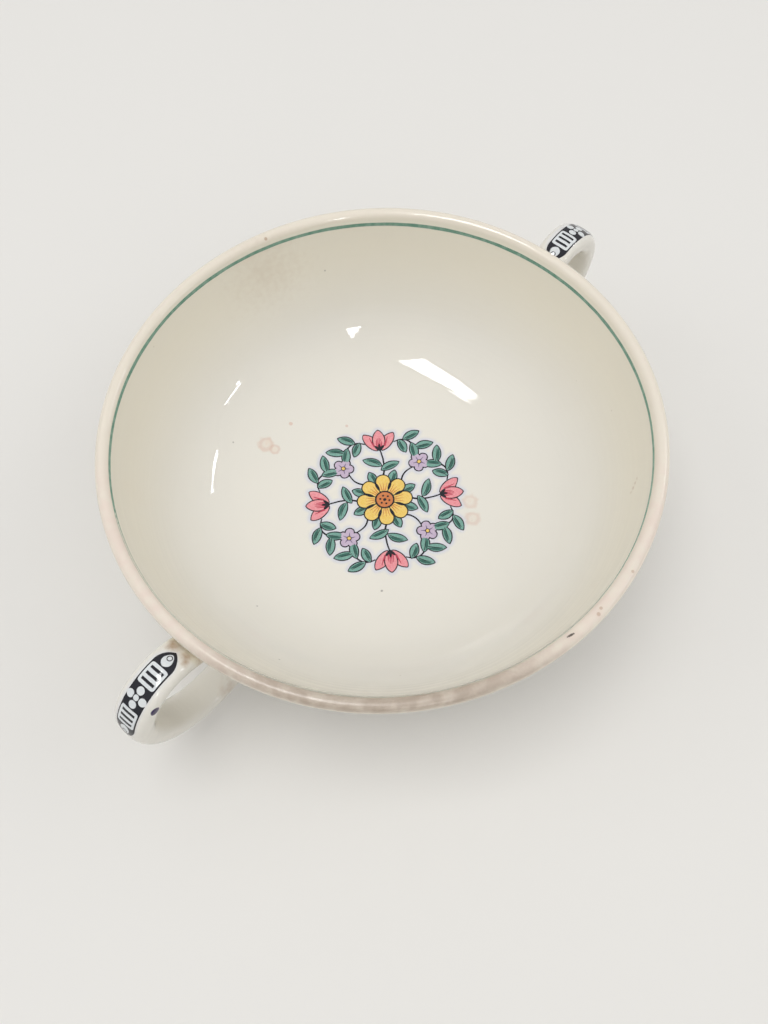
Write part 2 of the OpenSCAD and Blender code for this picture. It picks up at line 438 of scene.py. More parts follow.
class SectionPen:
    """Draws an open section from point to point, then turns it on the wheel."""

    def __init__(self, start: Vector) -> None:
        """Puts the pen down.

        Args:
            start: first place of the section, in millimetres from the axis and up.
        """
        self.bm = bmesh.new()
        self.tip = bmesh.ops.create_vert(self.bm, co=self._metres(start))["vert"][0]
        self.at = start

    @staticmethod
    def _metres(p: Vector) -> Vector:
        """A section's place as a place in the mesh."""
        return Vector((p[0] * MM, 0, p[1] * MM))

    def line(self, to: Vector, step: float = 1.0) -> None:
        """Draws a straight stretch.

        Args:
            to: its end.
            step: longest edge, in millimetres.
        """
        start = self.at
        if (to - start).length < 1e-6:
            return
        parts = max(1, math.ceil((to - start).length / step))
        for i in range(1, parts + 1):
            self.tip = bmesh.ops.extrude_vert_indiv(self.bm, verts=[self.tip])["verts"][0]
            self.tip.co = self._metres(start.lerp(to, i / parts))
        self.at = to

    def arc(self, centre: Vector, sweep: float, step: float = 1.0) -> None:
        """Draws a true arc from where the pen is.

        Args:
            centre: the arc's centre.
            sweep: its angle in degrees, positive from outwards to up.
            step: longest edge, in millimetres.
        """
        r = (self.at - centre).length
        parts = max(3, math.ceil(r * math.radians(abs(sweep)) / step))
        made = bmesh.ops.spin(
            self.bm, geom=[self.tip], cent=self._metres(centre), axis=(0, -1, 0),
            angle=math.radians(sweep), steps=parts, use_duplicate=False,
        )
        self.tip = verts_of(made["geom_last"])[0]
        self.at = centre + r * unit(angle_of(self.at - centre) + sweep)

    def corner(self, q: Vector, s: Vector, r: float, step: float = 0.2) -> None:
        """Draws up to a corner and round it.

        Args:
            q: the corner's own place.
            s: a place on the side after it.
            r: radius of the rounding.
            step: longest edge of the arc.
        """
        u, v = (self.at - q).normalized(), (s - q).normalized()
        half = math.acos(max(-1.0, min(1.0, u.dot(v)))) / 2
        centre = q + (u + v).normalized() * r / math.sin(half)
        self.line(q + u * r / math.tan(half))
        a0 = angle_of(self.at - centre)
        turn = (angle_of(q + v * r / math.tan(half) - centre) - a0 + 180) % 360 - 180
        self.arc(centre, turn, step)

    def turned(self, steps: int) -> BMesh:
        """Spins the section once round the axis.

        Args:
            steps: faces round.

        Returns:
            The closed mesh, its faces outwards.
        """
        bmesh.ops.spin(
            self.bm, geom=self.bm.verts[:] + self.bm.edges[:], cent=(0, 0, 0), axis=(0, 0, 1),
            angle=math.tau, steps=steps, use_merge=True, use_duplicate=False,
        )
        bmesh.ops.remove_doubles(self.bm, verts=self.bm.verts[:], dist=1e-7)
        bmesh.ops.recalc_face_normals(self.bm, faces=self.bm.faces[:])
        return self.bm


def loft(rings: Sequence[Sequence[Vector]], turned: bool) -> BMesh:
    """Draws a closed tube through rings of points by extruding its open end.

    Args:
        rings: rings with the same number of points, in millimetres.
        turned: whether the tube stands half a turn round the axis.

    Returns:
        The tube in metres, capped at both ends.
    """
    side = -MM if turned else MM
    scale = Vector((side, side, MM))
    bm = bmesh.new()
    place = bm.verts.layers.int.new("place")
    verts = bmesh.ops.create_circle(bm, cap_ends=True, segments=len(rings[0]), radius=1)["verts"]
    for i, v in enumerate(verts):
        v[place] = i
        v.co = rings[0][i] * scale
    end = bm.edges[:]
    for ring in rings[1:]:
        made = bmesh.ops.extrude_edge_only(bm, edges=end)["geom"]
        moved = verts_of(made)
        for v in moved:
            v.co = ring[v[place]] * scale
        fresh = set(moved)
        end = [g for g in made if isinstance(g, BMEdge) and fresh.issuperset(g.verts)]
    bmesh.ops.holes_fill(bm, edges=end, sides=0)
    bmesh.ops.recalc_face_normals(bm, faces=bm.faces[:])
    return bm


class PrintSheet:
    """Thin closed plates of one ink, drawn flat in millimetres and then laid on a face."""

    depth = 0.05
    sharp = 50.0
    wobble_pace = 0.9
    wobble_between_layers = 40.0
    grid_offset = 0.013
    petal_points = 28

    def __init__(self, wobble: float, grid: float = 0.45) -> None:
        """Starts an empty sheet.

        Args:
            wobble: unevenness of the drawn edges.
            grid: spacing of the cuts that let a shape follow a curved face.
        """
        self.mesh = bpy.data.meshes.new("sheet")
        self.all = bmesh.new()
        self.wobble = wobble
        self.grid = grid

    def _take(self, bm: BMesh, lift: float) -> None:
        """Cuts a flat shape to the grid, gives it its depth and adds it to the sheet."""
        pace = self.wobble_pace
        for v in bm.verts:
            at = Vector((v.co.x * pace, v.co.y * pace, lift * self.wobble_between_layers))
            v.co.z = 0
            v.co += self.wobble * noise.noise_vector(at).xy.to_3d()
        for axis in (Vector((1, 0, 0)), Vector((0, 1, 0))):
            spans = [v.co.dot(axis) for v in bm.verts]
            for k in range(math.ceil(min(spans) / self.grid), math.floor(max(spans) / self.grid) + 1):
                bmesh.ops.bisect_plane(
                    bm, geom=bm.verts[:] + bm.edges[:] + bm.faces[:], dist=1e-4,
                    plane_co=axis * (k * self.grid + self.grid_offset), plane_no=axis,
                )
        made = bmesh.ops.extrude_face_region(bm, geom=bm.faces[:])["geom"]
        for v in bm.verts:
            v.co.z = lift
        for v in verts_of(made):
            v.co.z = lift - self.depth
        bmesh.ops.recalc_face_normals(bm, faces=bm.faces[:])
        bm.to_mesh(self.mesh)
        bm.free()
        self.all.from_mesh(self.mesh)

    def plate(self, outline: Sequence[Sequence[float]], lift: float) -> None:
        """Adds a flat shape of any outline.

        Args:
            outline: its corners in order.
            lift: height of its face.
        """
        bm = bmesh.new()
        made = bmesh.ops.create_circle(bm, cap_ends=True, segments=len(outline), radius=1)["verts"]
        for v, corner in zip(made, outline):
            v.co = (corner[0], corner[1], 0)
        self._take(bm, lift)

    def petal(self, place: Matrix, length: float, width: float, lift: float, point: float = 0.0,
              curl: float = 0.0, belly: float = 0.0, grow: float = 0.0) -> None:
        """Adds a petal, leaf or bud, whose base is at the place and which grows along its Y.

        Args:
            place: where it is on the sheet.
            length: from base to tip.
            width: across its widest part.
            lift: height of its face above the surface.
            point: 0 for a round tip, up to 1 for a sharp one.
            curl: sideways bend of the tip, as a share of its length.
            belly: moves the widest part towards the tip when positive.
            grow: margin added all round, for an outline.
        """
        outline = []
        for i in range(self.petal_points):
            q = math.tau * i / self.petal_points - math.pi
            k = (1 - math.cos(q)) / 2
            side = math.sin(q) * abs(math.sin(q)) ** point * (1 + belly * (2 * k - 1))
            x = side * (width / 2 + grow) + curl * length * k * k
            outline.append(place @ Vector((x, k * (length + 2 * grow) - grow, 0)))
        self.plate(outline, lift)

    def disc(self, x: float, y: float, r: float, lift: float, points: int = 32) -> None:
        """Adds a round dot.

        Args:
            x: its middle, across.
            y: its middle, along.
            r: its radius.
            lift: height of its face.
            points: corners of its outline.
        """
        turns = [math.tau * i / points for i in range(points)]
        self.plate([(x - r * math.sin(q), y + r * math.cos(q)) for q in turns], lift)

    def ring(self, x: float, y: float, r: float, line: float, lift: float, points: int = 40) -> None:
        """Adds a ring of even line.

        Args:
            x: its middle, across.
            y: its middle, along.
            r: radius of the line's middle.
            line: the line's width.
            lift: height of its face.
            points: corners round it.
        """
        bm = bmesh.new()
        bmesh.ops.create_circle(bm, segments=points, radius=r - line / 2)
        for v in verts_of(bmesh.ops.extrude_edge_only(bm, edges=bm.edges[:])["geom"]):
            v.co *= (r + line / 2) / (r - line / 2)
        bmesh.ops.translate(bm, verts=bm.verts[:], vec=(x, y, 0))
        self._take(bm, lift)

    def stroke(self, path: Callable[[float], Vector], start: float, end: float, lift: float,
               parts: int = 8) -> None:
        """Adds a brush or graver stroke whose width runs from one value to another.

        Args:
            path: place on the sheet for a share of the way from 0 to 1.
            start: width at its start.
            end: width at its end.
            lift: height of its face.
            parts: straight parts.
        """
        bm = bmesh.new()
        place = bm.verts.layers.int.new("place")
        edge = None
        for i in range(parts + 1):
            k = i / parts
            ahead = path(min(1.0, k + 0.02)) - path(max(0.0, k - 0.02))
            side = Vector((-ahead.y, ahead.x)).normalized() * (start + (end - start) * k) / 2
            ends = [path(k).xy + side, path(k).xy - side]
            if edge is None:
                a, b = (bmesh.ops.create_vert(bm, co=p.to_3d())["vert"][0] for p in ends)
                b[place] = 1
                edge = bm.edges.new((a, b))
                continue
            moved = verts_of(bmesh.ops.extrude_edge_only(bm, edges=[edge])["geom"])
            for v in moved:
                v.co = ends[v[place]].to_3d()
            edge = next(e for e in moved[0].link_edges if e.other_vert(moved[0]) == moved[1])
        self._take(bm, lift)

    def laid(self, name: str, wraps: Iterable[Wrap], finish: Material) -> Object:
        """Lays the sheet on a face, once for each wrap, and dresses it.

        Args:
            name: the piece's name.
            wraps: functions from across, along and height to a place in millimetres.
            finish: its material.

        Returns:
            The piece of laid plates.
        """
        out = bmesh.new()
        flat = bpy.data.meshes.new("flat")
        self.all.to_mesh(flat)
        for wrap in wraps:
            one = bmesh.new()
            one.from_mesh(flat)
            for v in one.verts:
                v.co = wrap(*v.co) * MM
            bmesh.ops.recalc_face_normals(one, faces=one.faces[:])
            one.to_mesh(self.mesh)
            one.free()
            out.from_mesh(self.mesh)
        self.all.free()
        for used in (flat, self.mesh):
            bpy.data.meshes.remove(used)
        piece = put(name, out, self.sharp)
        dress(piece, finish)
        return piece


# Finishes


# Settings of a ramp that eases in and out
SOFT = {"interpolation_type": "SMOOTHSTEP"}


def colour(code: str) -> tuple[float, float, float, float]:
    """Linear colour of an sRGB hex value.

    Args:
        code: six hex digits.

    Returns:
        Red, green, blue and an alpha of 1.
    """
    parts = [int(code[i : i + 2], 16) / 255 for i in (0, 2, 4)]
    r, g, b = (c / 12.92 if c <= 0.04045 else ((c + 0.055) / 1.055) ** 2.4 for c in parts)
    return (r, g, b, 1.0)


def between(start: float, end: float, low: object = 0.0, high: object = 1.0) -> dict[int, object]:
    """Inputs of a ramp between two lengths in millimetres.

    Args:
        start: where it starts.
        end: where it ends.
        low: what it gives before its start.
        high: what it gives past its end.

    Returns:
        The inputs by number.
    """
    return {1: start * MM, 2: end * MM, 3: low, 4: high}


def feed(node: Node, inputs: Mapping[int | str, object]) -> None:
    """Sets and links a node's inputs.

    Args:
        node: the node.
        inputs: for a named or numbered input, a value, an output, or a node whose first live output is meant.
    """
    for key, value in inputs.items():
        if isinstance(value, Node):
            value = next(o for o in value.outputs if o.enabled)
        if isinstance(value, NodeSocket):
            node.id_data.links.new(value, node.inputs[key])
        else:
            node.inputs[key].default_value = value


def add_node(tree: NodeTree, kind: str, inputs: Mapping[int | str, object] | None = None,
             **settings: object) -> Node:
    """Adds a node with its settings and links.

    Args:
        tree: the material's or world's node tree.
        kind: the shader node's type name, without its first two words.
        inputs: what each input gets.
        **settings: the node's own properties.

    Returns:
        The node.
    """
    node = tree.nodes.new("ShaderNode" + kind)
    for key, value in settings.items():
        setattr(node, key, value)
    feed(node, inputs or {})
    return node


def new_finish(name: str) -> tuple[Material, NodeTree, NodeSocket]:
    """Starts a material.

    Args:
        name: its name.

    Returns:
        The material, its node tree and the object coordinates.
    """
    mat = bpy.data.materials.new(name)
    mat.use_nodes = True
    return mat, mat.node_tree, add_node(mat.node_tree, "TexCoord").outputs["Object"]


@dataclass(frozen=True)
class ClearCoat:
    """Lead glaze over clay or ink.

    The clay under the glaze is matt, so the glaze's own face does all the mirroring. That face
    waves by hundredths of a millimetre over about 20 mm.
    """

    body_roughness: float = 0.42
    body_ior: float = 1.5
    coat_ior: float = 1.52
    roughness: float = 0.02
    wave_scale: float = 55.0
    wave_depth: float = 0.05

    def waved(self, tree: NodeTree, place: NodeSocket) -> Node:
        """The slow wave of the glaze's face, at a place."""
        wave = add_node(tree, "TexNoise", {"Vector": place, "Scale": self.wave_scale, "Detail": 1.0})
        return add_node(tree, "Bump", {"Strength": 1.0, "Distance": self.wave_depth * MM, "Height": wave})

    def over(self, tree: NodeTree, tone: Node, bump: Node,
             roughness: Node | float) -> None:
        """Sets the shader of a material.

        Args:
            tree: the material's tree.
            tone: the colour under the glaze.
            bump: the glaze's face.
            roughness: the glaze's own roughness.
        """
        feed(tree.nodes["Principled BSDF"], {
            "Base Color": tone, "Normal": bump, "Coat Normal": bump, "Roughness": self.body_roughness,
            "IOR": self.body_ior, "Specular IOR Level": 0.0, "Coat Weight": 1.0, "Coat Roughness": roughness,
            "Coat IOR": self.coat_ior,
        })


class Mark(Enum):
    """Kinds of wear and kiln marks and of painted shade, each with its raggedness and where it fades, as
    shares of its radius.
    """

    SPOT = (0.7, 0.9, 1.25)
    LOOP = (0.7, 0.0, 0.5)
    STAIN_AND_SHADE = (1.5, 0.0, 1.9)
    DAB = (0.15, 0.85, 1.05)


@dataclass(frozen=True)
class GlazeMark:
    """One mark in the glaze: its kind, place and radius in millimetres, colour and depth of colour."""

    kind: Mark
    place: tuple[float, float, float]
    radius: float
    code: str
    depth: float

    def share(self, tree: NodeTree, place: NodeSocket, wander: Node) -> Node:
        """Share of the mark's colour.

        Args:
            tree: the material's tree.
            place: object coordinates.
            wander: a noise that makes its edge ragged.

        Returns:
            The node of the share.
        """
        r = self.radius * MM
        ragged, near, far = self.kind.value
        away = add_node(tree, "VectorMath", {0: place, 1: Vector(self.place) * MM}, operation="DISTANCE")
        away = add_node(tree, "Math", {0: wander, 1: r * ragged, 2: away}, operation="MULTIPLY_ADD")
        if self.kind is Mark.LOOP:
            away = add_node(tree, "Math", {0: away, 1: r * 1.2}, operation="SUBTRACT")
            away = add_node(tree, "Math", {0: away}, operation="ABSOLUTE")
        return add_node(tree, "MapRange", {0: away, 1: r * near, 2: r * far, 3: self.depth, 4: 0.0}, **SOFT)


@dataclass(frozen=True)
class CreamGlaze:
    """Cream earthenware under a clear lead glaze, dipped and fired.

    The glaze lies smooth and wet-looking over a soft cream body, a little thin and warm on the
    lip, and pools cooler where it is deep. Iron in the clay leaves specks under a millimetre.
    Pairs of numbers are millimetres: bands below the lip, or distances from the axis.
    """

    coat: ClearCoat
    body: str = "E9E5DB"
    pooled: str = "E4E1D9"
    shaded_wall: str = "E7E1D1"
    thin_lip: str = "E5D6C9"
    worn_and_shaded_lip: str = "A19180"
    flow_tint: str = "CBCFE0"
    speck: str = "7A5B3C"
    bowl_edge: tuple[float, float] = (61.2, 62.5)
    shaded_wall_band: tuple[float, float] = (29.0, 7.0)
    lip_band: tuple[float, float] = (1.8, 0.4)
    worn_and_shaded_side: tuple[float, float, float] = (-0.77, -0.64, 0.0)
    warm_from: tuple[float, float] = (0.0, 20.0)
    worn_and_shaded_from: tuple[float, float] = (44.0, 59.0)
    wall_from: tuple[float, float] = (38.0, 46.0)
    speck_r: float = 0.034
    lip_matting: float = 0.12
    wear_matting: float = 0.25
    fine_depth: float = 0.003
    ring_depth: float = 0.045
    ring_slope: float = 1.3
    marks: tuple[GlazeMark, ...] = ()

    def made(self, lip_z: float) -> Material:
        """Builds the material.

        Args:
            lip_z: height of the lip's top in millimetres.

        Returns:
            The glaze.
        """
        mat, tree, place = new_finish("cream_glaze")
        z = add_node(tree, "SeparateXYZ", {0: place}).outputs["Z"]

        # Depth of the glaze varies over about 25 mm, as a dipped coat does
        cloud = add_node(tree, "TexNoise", {"Vector": place, "Scale": 40.0, "Detail": 3.0, "Roughness": 0.5})

        # Painted shade: the bowl's walls turn darker and warmer from about 29 mm below the lip upwards,
        # standing for light bounced warm inside the bowl, but not on the handles
        out = add_node(tree, "VectorMath", {0: place, 1: (1.0, 1.0, 0.0)}, operation="MULTIPLY")
        out = add_node(tree, "VectorMath", {0: out}, operation="LENGTH")
        bowl = add_node(tree, "MapRange", {0: out, **between(*self.bowl_edge, 1.0, 0.0)}, **SOFT)
        wall_shade, high = (
            add_node(tree, "MapRange", {0: z, **between(lip_z - low, lip_z - top, 0.0, bowl)}, **SOFT)
            for low, top in (self.shaded_wall_band, self.lip_band)
        )

        # The lip shows the body through a thin coat, in patches a few millimetres wide
        ragged = add_node(tree, "TexNoise", {"Vector": place, "Scale": 420.0, "Detail": 5.0})
        side = add_node(tree, "VectorMath", {0: place, 1: self.worn_and_shaded_side}, operation="DOT_PRODUCT")
        most = add_node(tree, "MapRange", {0: side, **between(*self.warm_from, 0.35)}, **SOFT)
        thin = add_node(tree, "MapRange", {0: ragged, 1: 0.2, 2: 0.62, 3: 0.2, 4: most})
        lip = add_node(tree, "Math", {0: high, 1: thin}, operation="MULTIPLY")

        # One side of the lip, on the left handle's right and nearest the camera, is the most used and dulled
        # to a grey brown; its darkness there is partly wear and partly painted shade of that side
        dull_and_shade = add_node(tree, "MapRange", {0: ragged, 1: 0.34, 2: 0.62, 3: 0.52, 4: 0.84})
        used = add_node(tree, "MapRange", {0: side, **between(*self.worn_and_shaded_from)}, **SOFT)
        for share in (dull_and_shade, high):
            used = add_node(tree, "Math", {0: used, 1: share}, operation="MULTIPLY")

        # Cobalt from the prints has flowed a little into the glaze round them
        flow = add_node(tree, "Attribute", attribute_name="flow").outputs["Fac"]

        # Iron specks: one cell in a few, 0.1 to 0.3 mm across
        cells = add_node(tree, "TexVoronoi", {"Vector": place, "Scale": 210.0}, feature="F1")
        rare = add_node(tree, "SeparateColor", {0: cells.outputs["Color"]})
        size = add_node(tree, "MapRange", {0: rare, 1: 0.72, 2: 1.0, 3: 0.0, 4: self.speck_r})
        speck = add_node(tree, "Math", {0: cells, 1: size}, operation="LESS_THAN")
        speck = add_node(tree, "Math", {0: speck, 1: 0.5}, operation="MULTIPLY")

        wander = add_node(tree, "TexNoise", {"Vector": place, "Scale": 700.0, "Detail": 2.0})
        tone = colour(self.body)
        for share, code in (
            (cloud, self.pooled), (wall_shade, self.shaded_wall), (lip, self.thin_lip), (used, self.worn_and_shaded_lip),
            (flow, self.flow_tint), (speck, self.speck),
            *((mark.share(tree, place, wander), mark.code) for mark in self.marks),
        ):
            tone = add_node(tree, "Mix", {0: share, 6: tone, 7: colour(code)}, data_type="RGBA")

        # The face also waves over 3 mm, and the turning tool left faint rings, a few millimetres apart
        fine = add_node(tree, "TexNoise", {"Vector": place, "Scale": 330.0, "Detail": 2.0})
        along = add_node(tree, "Math", {0: z, 1: self.ring_slope, 2: out}, operation="MULTIPLY_ADD")
        rings = add_node(tree, "TexNoise", {"W": along, "Scale": 300.0, "Detail": 1.0}, noise_dimensions="1D")
        walls = add_node(tree, "MapRange", {0: out, **between(*self.wall_from)}, **SOFT)
        rings = add_node(tree, "Math", {0: rings, 1: walls}, operation="MULTIPLY")
        bump = self.coat.waved(tree, place)
        for height, depth in ((fine, self.fine_depth), (rings, self.ring_depth)):
            face = {"Strength": 1.0, "Distance": depth * MM, "Height": height, "Normal": bump}
            bump = add_node(tree, "Bump", face)

        # Use has matted the glaze on the lip, most of all on its worn side
        matt = self.coat.roughness
        for share, matting in ((high, self.lip_matting), (used, self.wear_matting)):
            matt = add_node(tree, "Math", {0: share, 1: matting, 2: matt}, operation="MULTIPLY_ADD")
        self.coat.over(tree, tone, bump, matt)
        return mat


@dataclass(frozen=True)
class CeramicInk:
    """Ceramic colour, printed from an engraved plate or laid by hand, and covered by the glaze.

    It shows a soft mottle where the oil took the powder unevenly, and the glaze's own gloss.
    """

    name: str
    code: str
    thin: str
    grain: float = 0.35

    def made(self, coat: ClearCoat) -> Material:
        """Builds the material, with its mottle at the ink's grain in millimetres.

        Args:
            coat: the glaze over it.

        Returns:
            The ink under glaze.
        """
        mat, tree, place = new_finish(self.name)
        mottle = add_node(tree, "TexNoise", {"Vector": place, "Scale": 1 / (self.grain * MM), "Detail": 3.0})
        spread = add_node(tree, "MapRange", {0: mottle, 1: 0.35, 2: 0.75, 3: 0.0, 4: 0.8})
        code, thin = colour(self.code), colour(self.thin)
        tone = add_node(tree, "Mix", {0: spread, 6: code, 7: thin}, data_type="RGBA")
        coat.over(tree, tone, coat.waved(tree, place), coat.roughness)
        return mat


class Ink(Enum):
    """The ceramic colours of the prints and the painted line."""

    BLACK = CeramicInk("blue_black_ink", "14141C", "20212C")
    RESERVED = CeramicInk("reserved_ground", "DDE0E0", "D3D8DC", grain=1.2)
    LINE_GREEN = CeramicInk("line_green", "5E8C78", "8FAE9C", grain=1.4)
    LEAF = CeramicInk("leaf_green", "6B9C90", "8DB5AA")
    DEEP_LEAF = CeramicInk("deep_green", "2B5A50", "3F6E63")
    YELLOW = CeramicInk("bloom_yellow", "E9C35C", "F0D58C")
    ORANGE = CeramicInk("heart_orange", "C8743C", "D68F5E")
    PINK = CeramicInk("tulip_pink", "E58A93", "F0B0B4")
    RED = CeramicInk("tulip_red", "B8324C", "C9566A")
    LILAC = CeramicInk("bell_lilac", "BFABC4", "D0C3D3")
    VIOLET = CeramicInk("bell_violet", "6A5A78", "83738F")


# Sub-assemblies


@dataclass
class CupBody:
    """The bowl and its two strap handles, fired as one piece."""

    form: CupForm
    glaze: Material
    around: int = 240
    strap_rings: int = 104
    flare_rings: int = 12
    strap_points: int = 60

    def bowl(self) -> Object:
        """Turns the bowl with its foot ring.

        Returns:
            The closed bowl.
        """
        f, s = self.form, self.form.sizes
        lean = math.tan(math.radians(s.foot_draft))
        foot_r = s.foot_d / 2
        ring_in = foot_r - s.foot_w
        hollow_top = Vector((ring_in - s.hollow_h * lean, s.hollow_h))
        stand_in, stand_out = Vector((ring_in, 0)), Vector((foot_r, 0))
        shoulder_in = Vector((foot_r + s.foot_h * lean, s.foot_h))
        shoulder_out = Vector((f.turn_out_c[0], s.foot_h))

        pen = SectionPen(Vector((0, s.hollow_h)))
        pen.corner(hollow_top, stand_in, s.foot_cove)
        pen.corner(stand_in, stand_out, s.foot_edge)
        pen.corner(stand_out, shoulder_in, s.foot_edge)
        pen.corner(shoulder_in, shoulder_out, s.foot_cove)
        pen.line(shoulder_out)
        pen.arc(f.turn_out_c, 90 + f.turn_out_a, 0.9)
        pen.arc(f.bow_out_c, -s.lean_out - f.turn_out_a, 0.9)
        pen.arc(f.lip_c, 180 - s.lean_in + s.lean_out, 0.25)
        pen.arc(f.bow_in_c, f.turn_in_a + s.lean_in, 0.9)
        pen.arc(f.turn_in_c, f.floor_edge_a - f.turn_in_a, 0.9)
        pen.arc(f.floor_c, -90 - f.floor_edge_a, 1.4)
        return put("bowl", pen.turned(self.around))

    def strap(self, turned: bool) -> Object:
        """Pulls one strap handle.

        Args:
            turned: whether it is the one on the -X side.

        Returns:
            The closed strap, its ends inside the wall.
        """
        rings = self.form.rings(self.strap_rings, self.flare_rings, self.strap_points)
        return put("strap", loft(rings, turned))

    def luted(self, body: Object, straps: Sequence[Object]) -> None:
        """Joins the straps to the bowl as one skin and smooths the joints.

        Args:
            body: the bowl, whose mesh becomes the whole cup's.
            straps: the handles, which are used up.
        """
        for strap in straps:
            join = body.modifiers.new("lute", "BOOLEAN")
            join.operation = "UNION"
            join.solver = "EXACT"
            join.object = strap
        graph = bpy.context.evaluated_depsgraph_get()
        mesh = bpy.data.meshes.new_from_object(body.evaluated_get(graph))
        body.modifiers.clear()
        body.data = mesh
        for strap in straps:
            bpy.data.objects.remove(strap)
        bm = bmesh.new()
        bm.from_mesh(mesh)
        bmesh.ops.remove_doubles(bm, verts=bm.verts[:], dist=2e-6)
        bmesh.ops.dissolve_degenerate(bm, edges=bm.edges[:], dist=1e-6)
        bmesh.ops.recalc_face_normals(bm, faces=bm.faces[:])
        for f in bm.faces:
            f.smooth = True
        bm.to_mesh(mesh)
        bm.free()

    def build(self, reach: Callable[[Vector], float]) -> Object:
        """Builds and dresses the cup's body.

        Args:
            reach: share of printed colour that has flowed to a place.

        Returns:
            The body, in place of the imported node.
        """
        body = self.bowl()
        self.luted(body, [self.strap(False), self.strap(True)])
        store_flow(body, [reach(v.co / MM) for v in body.data.vertices])
        body.name = body.data.name = "cup_body"
        dress(body, self.glaze)
        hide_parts("cup")
        return body


@dataclass
class LipLine:
    """The thin green line, banded by hand round the inside of the lip."""

    form: CupForm
    ink: Material
    width: float = 0.85
    height: float = 44.82
    dip: float = 1.62
    dip_turn: float = 22.0
    around: int = 480
    flat_r: float = 40.0
    lift: float = 0.02

    def _on_wall(self, x: float, y: float, lift: float) -> Vector:
        """Place of the flat ring on the wall, where its radius becomes a height with a brush's waver."""
        half = self.width / 2
        turn = math.atan2(y, x)
        side = (math.hypot(x, y) - self.flat_r) / half
        way = Vector((math.cos(turn), math.sin(turn), 0))
        brush = 0.16 * noise.noise(way * 5.1) + 0.10 * noise.noise(way * 17.0 + Vector((0, 0, side)))
        middle = self.height - self.dip * ((1 + math.cos(turn - math.radians(self.dip_turn))) / 2) ** 1.5
        z = middle + 0.05 * noise.noise(way * 2.3 + Vector((5, 0, 0)))
        return self.form.on_inner_wall(turn, z + side * half * (1 + brush), lift)

    def build(self) -> Object:
        """Builds and dresses the line.

        Returns:
            The line, a thin closed band.
        """
        sheet = PrintSheet(0.0, grid=500.0)
        sheet.ring(0, 0, self.flat_r, self.width, self.lift, points=self.around)
        return sheet.laid("lip_line", [self._on_wall], self.ink)


